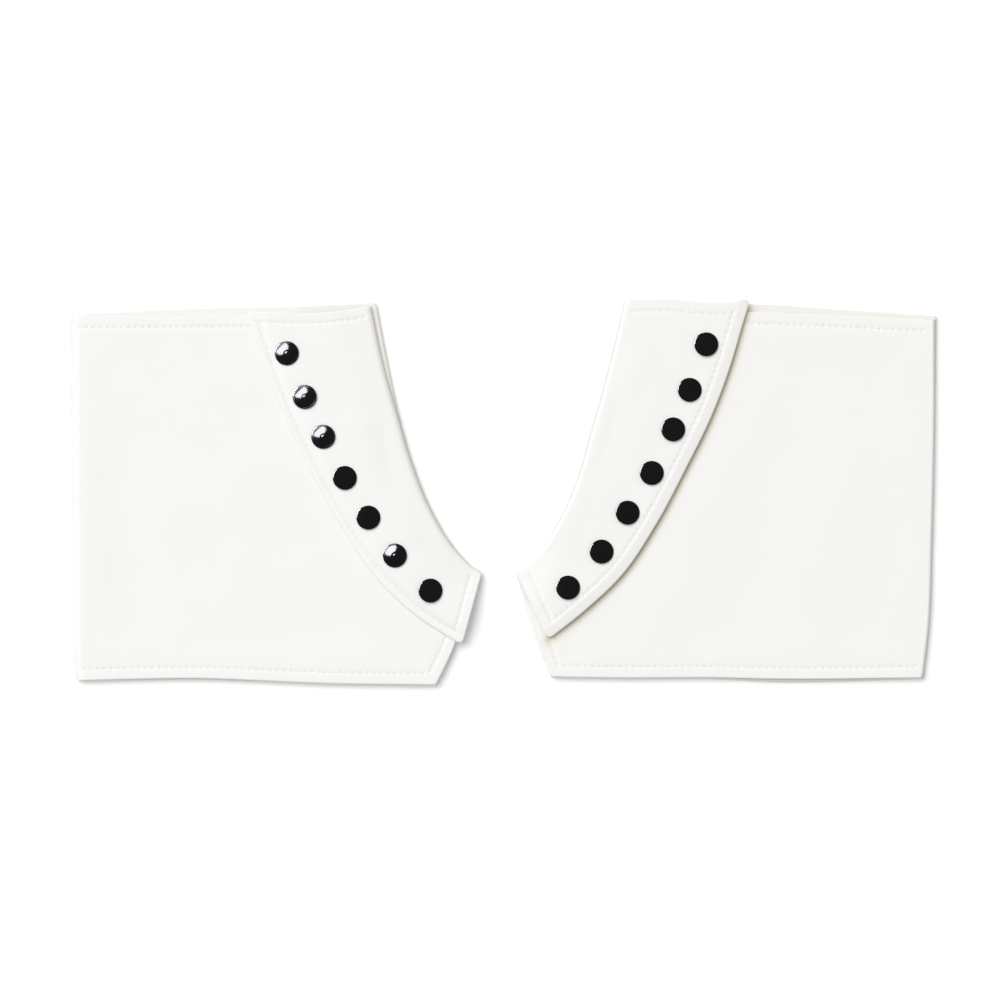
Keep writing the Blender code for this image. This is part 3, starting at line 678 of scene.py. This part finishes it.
def makeQuarter(side, spat, edges):
    look = quarterLook[side]
    slant = edges["quarterSlant"][::-1]
    front = np.vstack([slant, edges["underlap"][::-1][1:]])
    grid = panelGrid(edges["quarterFoot"], edges["quarterTop"], edges["quarterHeel"], front,
                     (nearHem, nearHem, nearSeam, nearHem), (84, 20, 66), runAlong(slant)[-1])
    rows = stitchRows(edges, quarterLook["hems"], np.array((90, 100)),
                      [("quarterHeel", 4.4), ("underlap", 3), ("quarterFoot", 5.6), ("quarterTop", 5.6),
                       ("quarterSlant", 5.4)])

    def faces(points):
        seam = away(points, edges["quarterHeel"])
        hems = np.min([away(points, edges[hem[0]]) for hem in quarterLook["hems"]], axis=0)
        inset = np.minimum(seam, hems)
        beyond = ahead(points, edges["closure"])
        under = ease((beyond - 1) / quarterLook["underRun"])
        hemShare = ease(1 - (inset - cloth["turning"]) / cloth["settle"])
        top = cloth["field"] + (outerEdge - cloth["field"]) * hemShare
        beside = look["besideFlap"] * ease(1 + beyond / quarterLook["besideRun"])
        top = top + beside * (outerEdge + 0.1 - top) / 0.5
        top = top + (np.minimum(top, cloth["snapBed"]) - top) * under * ease((hems - cloth["turning"]) / 5)
        still = ease((inset - 7) / 14) * (1 - under)
        top = top + still * (creased(points, look["creases"]) + swell(points, look["phase"], quarterLook["sway"]))
        top = top + quarterLook["fullness"] * np.sin(np.pi * np.clip(hems / quarterLook["hemWide"], 0, 1))
        low = top - layerThick(inset)
        top = top - stitchDip(points, rows)
        top, low = closeUp(top, low, hems, cloth["nose"])
        return rolled(top, low, seam, hemTop + cloth["gap"], look["seam"])

    foot = spat["quarterFoot"]
    # tan along edges: painted warm shade on the shadowed heel seam, and painted shadow beside the flap's closure
    # edge
    tanSoilAndShade = [(edges["quarterHeel"], spat["heelSoil"], 0.5), (edges["closure"], look["closureShade"], 2.4)]
    corners = [(foot[0], foot[1], spat["quarterHeel"][1], spat["heelCorner"]),
               (foot[-1], foot[-2], spat["quarterSlant"][-2], quarterLook["toeCorner"])]
    panel = makePanel(side + "QuarterCloth", grid, rows, faces, True, tanSoilAndShade, corners, spat, 0)
    thread = makeThread(side + "QuarterThread", rows, lambda p: faces(p)[0], True, spat)
    return panel, thread


# closure gives the distance in from the closure's edge and the height there; front and tip are heights beside the
# front seam; grain turns the weave, in degrees
flapLook = dict(
    right=dict(
        hems=[("closure", 4.0, 0.4, 0.12), ("flapTop", 5.1, 0.2, 0.26), ("flapSlant", 5.4, 0.38, 0.12)],
        closure=[(0, 6.9), (1.0, 7.14), (2.4, 7.18), (3.9, 7.2), (5.2, 7.6), (7.0, 8.15), (8.8, 8.5)],
        creases=[((150, 165), (150, 135), 6, 0.35), ((158, 128), (162, 105), 6, -0.35),
                 ((170, 92), (176, 76), 5, 0.35), ((190, 64), (180, 70), 4, -0.25)],
        phase=0.9,
        seam=[(0, 0), (0.18, 0.32), (0.45, 0.54), (0.9, 0.73), (1.5, 0.87), (2.2, 0.95), (3.0, 0.98), (4.6, 1)],
        # edge share: faint painted shade on the closure's fold
        grain=-17, toeCorner=2.4, topCorner=1.5, front=6.8, tip=5.2, closureFoldShade=0.05,
    ),
    left=dict(
        hems=[("closure", 6.7, 0.14, 0.34), ("flapTop", 5.8, 0.1, 0.3), ("flapSlant", 6.1, 0.5, 0.12)],
        closure=[(0, 7.45), (1.0, 7.68), (2.4, 7.98), (3.9, 8.25), (5.0, 8.43), (6.7, 8.4), (8.8, 8.5)],
        creases=[((166, 140), (170, 110), 6, -0.3), ((150, 170), (158, 150), 6, 0.25),
                 ((188, 84), (196, 70), 5, 0.3), ((178, 96), (172, 84), 4, -0.2)],
        phase=2.2,
        seam=[(0, 0), (0.18, 0.5), (0.45, 0.74), (0.9, 0.89), (1.5, 0.96), (2.2, 0.99), (4.6, 1)],
        # edge share: painted warm shade on the closure's fold, which faces away from the light here
        grain=-15, toeCorner=2.6, topCorner=2.6, front=8.3, tip=5.8, closureFoldShade=0.8,
    ),
    slope=22.0,           # from beside the front seam up to the level of the snaps
    tipReach=30.0,        # run over which the front seam sinks from front to tip, at the toe
    sway=0.3,             # how uneven it is
    pull=0.25,            # how far a snap draws the cloth down round itself
    pullWide=8.0,
)


def makeFlap(side, spat, edges):
    look = flapLook[side]
    grid = panelGrid(edges["flapSlant"], edges["flapTop"], edges["closure"][::-1], edges["flapFront"][::-1],
                     (nearHem, nearHem, nearHem, nearSeam), (16, 94))
    rows = stitchRows(edges, look["hems"], np.array((150, 110)),
                      [("flapFront", 4.2), ("closure", look["hems"][0][1] - 0.2), ("flapTop", 4.9),
                       ("flapSlant", 5.2)])
    snaps = np.array(spat["snaps"])

    def faces(points):
        seam = away(points, edges["flapFront"])
        hems = np.min([away(points, edges[hem[0]]) for hem in look["hems"]], axis=0)
        top = np.interp(away(points, edges["closure"]), *np.array(look["closure"]).T)
        climb = ease(seam / flapLook["slope"])
        fromSlant = away(points, edges["flapSlant"])
        front = look["tip"] + (look["front"] - look["tip"]) * ease(fromSlant / flapLook["tipReach"])
        top = front + (top - front) * climb
        still = ease((np.minimum(seam, hems) - 4) / 6)
        top = top + still * (creased(points, look["creases"]) + swell(points, look["phase"], flapLook["sway"]))
        near = np.linalg.norm(points[:, None] - snaps, axis=2).min(1)
        top = top - flapLook["pull"] * np.exp(-(near / flapLook["pullWide"]) ** 2)
        low = top - layerThick(np.minimum(seam, hems))
        top = top - stitchDip(points, rows)
        top, low = closeUp(top, low, hems, cloth["nose"])
        return rolled(top, low, seam, hemTop + cloth["gap"], look["seam"])

    slant, ends = spat["flapSlant"], spat["closure"]
    # tan along edges: painted warm shade on the shadowed front seam and on the closure's fold
    tanSoilAndShade = [(edges["flapFront"], spat["frontSoil"], 0.5), (edges["closure"], look["closureFoldShade"], 0.4)]
    corners = [(slant[0], slant[1], ends[-2], look["toeCorner"]),
               (slant[1], slant[0], spat["flapFront"][-2], spat["tipCorner"]),
               (ends[0], ends[1], spat["flapTop"][1], look["topCorner"])]
    panel = makePanel(side + "FlapCloth", grid, rows, faces, True, tanSoilAndShade, corners, spat, look["grain"])
    thread = makeThread(side + "FlapThread", rows, lambda p: faces(p)[0], True, spat)
    return panel, thread


for side, spat in spats.items():
    edges = edgesOf(spat)
    for node, maker, sides in (
            ("inner", makeInner, ("innerFoot", "innerSlant", "innerFront", "innerTop", "innerHeel")),
            ("quarter", makeQuarter, ("quarterFoot", "quarterSlant", "underlap", "quarterTop", "quarterHeel")),
            ("flap", makeFlap, ("flapSlant", "flapFront", "flapTop", "closure"))):
        panel, thread = maker(side, spat, edges)
        panel.data.materials.append(duck)
        thread.data.materials.append(threadWhite)
        for piece in (panel, thread):
            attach(piece, "root")
        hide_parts(f"{side}_{node}")
        loop = [edges[name] for name in sides]
        ordered, last = [loop[0]], loop[0][-1]
        for part in loop[1:]:
            if np.linalg.norm(part[0] - last) > np.linalg.norm(part[-1] - last):
                part = part[::-1]
            ordered.append(part)
            last = part[-1]


# The snaps are drawn up ring by ring and copied to every place.
snap = dict(
    sides=48,
    # radius and height of each ring, from the roof of the cavity out and up to the pip
    rings=[(2.1, 6.7), (2.1, 5.4), (4.7, 5.4), (5.0, 5.65), (5.0, 6.75), (4.75, 7.0), (1.3, 7.0), (1.3, 8.75),
           (5.75, 8.75), (6.1, 8.88), (6.2, 9.1), (6.17, 9.3), (6.06, 9.47), (5.88, 9.59), (5.66, 9.65),
           (5.46, 9.64), (5.32, 9.62), (5.2, 9.66), (4.2, 9.88), (3.2, 10.09), (2.2, 10.29), (1.35, 10.44),
           (1.1, 10.4), (0.95, 10.41), (0.7, 10.47), (0.45, 10.53), (0.2, 10.56), (0.1, 10.56)],
    # how far each cap leans, in degrees about x and y, where the cloth under it isn't level
    lean=dict(right=[(0, 1), (-1, -1), (0, -1), (-3, 3), (-3.5, 3), (0.5, 0), (-4, 4)],
              left=[(-4, 3), (-3.5, 4), (-4, 3), (-3.5, 3.5), (-4, 4), (-3, 4), (-4, 3)]),
)


def drawSnap():
    deselectAll()
    radius, height = snap["rings"][0]
    bpy.ops.mesh.primitive_circle_add(vertices=snap["sides"], radius=radius * mm, fill_type="NGON",
                                      location=(0, 0, height * mm))
    made = bpy.context.object
    bpy.ops.object.transform_apply(location=True, rotation=False, scale=False)
    bpy.ops.object.mode_set(mode="EDIT")
    bpy.ops.mesh.select_mode(type="FACE")
    bpy.ops.mesh.select_all(action="SELECT")
    for (wide, low), (nextWide, high) in zip(snap["rings"][:-1], snap["rings"][1:]):
        bpy.ops.mesh.extrude_region_move(TRANSFORM_OT_translate={"value": (0, 0, (high - low) * mm)})
        bpy.ops.transform.resize(value=(nextWide / wide, nextWide / wide, 1))
    bpy.ops.mesh.select_all(action="SELECT")
    bpy.ops.mesh.normals_make_consistent(inside=False)
    bpy.ops.object.mode_set(mode="OBJECT")
    bpy.ops.object.shade_smooth_by_angle(angle=math.radians(40))
    made.data.materials.append(black)
    return made


master = drawSnap()
shape = flatSpots(master)
for side, spat in spats.items():
    for k, (x, y) in enumerate(spat["snaps"]):
        copy = master.copy()
        copy.data = master.data.copy()
        copy.name = f"{side}Snap{k + 1}"
        bpy.context.collection.objects.link(copy)
        tipX, tipY = (math.radians(v) for v in snap["lean"][side][k])
        leaned = shape.copy()
        crown = shape[:, 2] > 8.7 * mm                     # only the cap leans
        leaned[crown, 2] += shape[crown, 1] * math.sin(tipX) - shape[crown, 0] * math.sin(tipY)
        leaned[:, 0] += (spat["heel"][0] + spat["toe"] * x) * mm
        leaned[:, 1] += (spat["heel"][1] + y) * mm
        copy.data.vertices.foreach_set("co", leaned.ravel())
        copy.data.update()
        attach(copy, "root")
        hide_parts(f"{side}_snap_{k + 1}")
bpy.data.objects.remove(master, do_unlink=True)
for name in frame["nodes"]:
    if "_stud_" in name:
        stud = bpy.data.objects[name]
        stud.data.materials.clear()
        stud.data.materials.append(black)
print("snaps placed")


studio = dict(
    # where each light stands (degrees clockwise from the leg's end, degrees up), how far off in metres, how large
    # in metres, and how bright in watts
    key=dict(stand=(-47, 57), far=14.0, size=(10.6, 10.6), power=1762.0, colour=(0.985, 0.99, 1.0)),
    window=dict(stand=(-44, 67), far=3.0, size=(2.1, 0.9), power=430.0, colour=(0.92, 0.95, 1.0)),
    rim=dict(stand=(-60, 26), far=3.0, size=(2.2, 1.6), power=2600.0, colour=(0.9, 0.95, 1.0)),
    fill=0.53,
    lens=200.0, camera=(-1.415, -4.384, 2863.3),
)
deselectAll()
bpy.ops.mesh.primitive_plane_add(size=6, location=(0, 0, -0.00005))
floor = bpy.context.object
floor.name = "paperSweep"
bpy.ops.object.transform_apply(location=True, rotation=False, scale=False)
floor.data.materials.append(paperFloor())


def addSoftbox(name, look):
    turn, up = (math.radians(v) for v in look["stand"])
    place = [look["far"] * v for v in (math.sin(turn) * math.cos(up), math.cos(turn) * math.cos(up), math.sin(up))]
    bpy.ops.object.light_add(type="AREA", location=place)
    light = bpy.context.object
    light.name = name
    light.data.shape = "RECTANGLE"
    light.data.size, light.data.size_y = look["size"]
    light.data.energy = look["power"]
    light.data.color = look["colour"]
    light.rotation_euler = light.location.to_track_quat("Z", "Y").to_euler()
    return light


key = addSoftbox("softbox", studio["key"])
key.visible_glossy = False                            # only the cards show in the gloss
for name, shows in (("window", ("rightSnap1", "rightSnap2", "rightSnap3", "rightSnap6")), ("rim", ("Snap",))):
    card = addSoftbox(name + "Card", studio[name])    # a reflector that only some snaps catch in their gloss
    glossy = bpy.data.collections.new(name + "Catches")
    for piece in list(bpy.data.objects):
        if piece.type == "MESH" and any(part in piece.name for part in shows):
            glossy.objects.link(piece)
    card.light_linking.receiver_collection = glossy
    card.visible_diffuse = False

world = bpy.data.worlds.new("whiteRoom")
bpy.context.scene.world = world
world.use_nodes = True
world.node_tree.nodes["Background"].inputs["Color"].default_value = (1, 1, 1, 1)
world.node_tree.nodes["Background"].inputs["Strength"].default_value = studio["fill"]

bpy.ops.object.camera_add(location=[v * mm for v in studio["camera"]], rotation=(0, 0, 0))
camera = bpy.context.object
camera.data.lens = studio["lens"]
camera.data.sensor_width = 36
bpy.context.scene.camera = camera
bpy.context.scene.view_settings.view_transform = "Standard"
print("studio set")
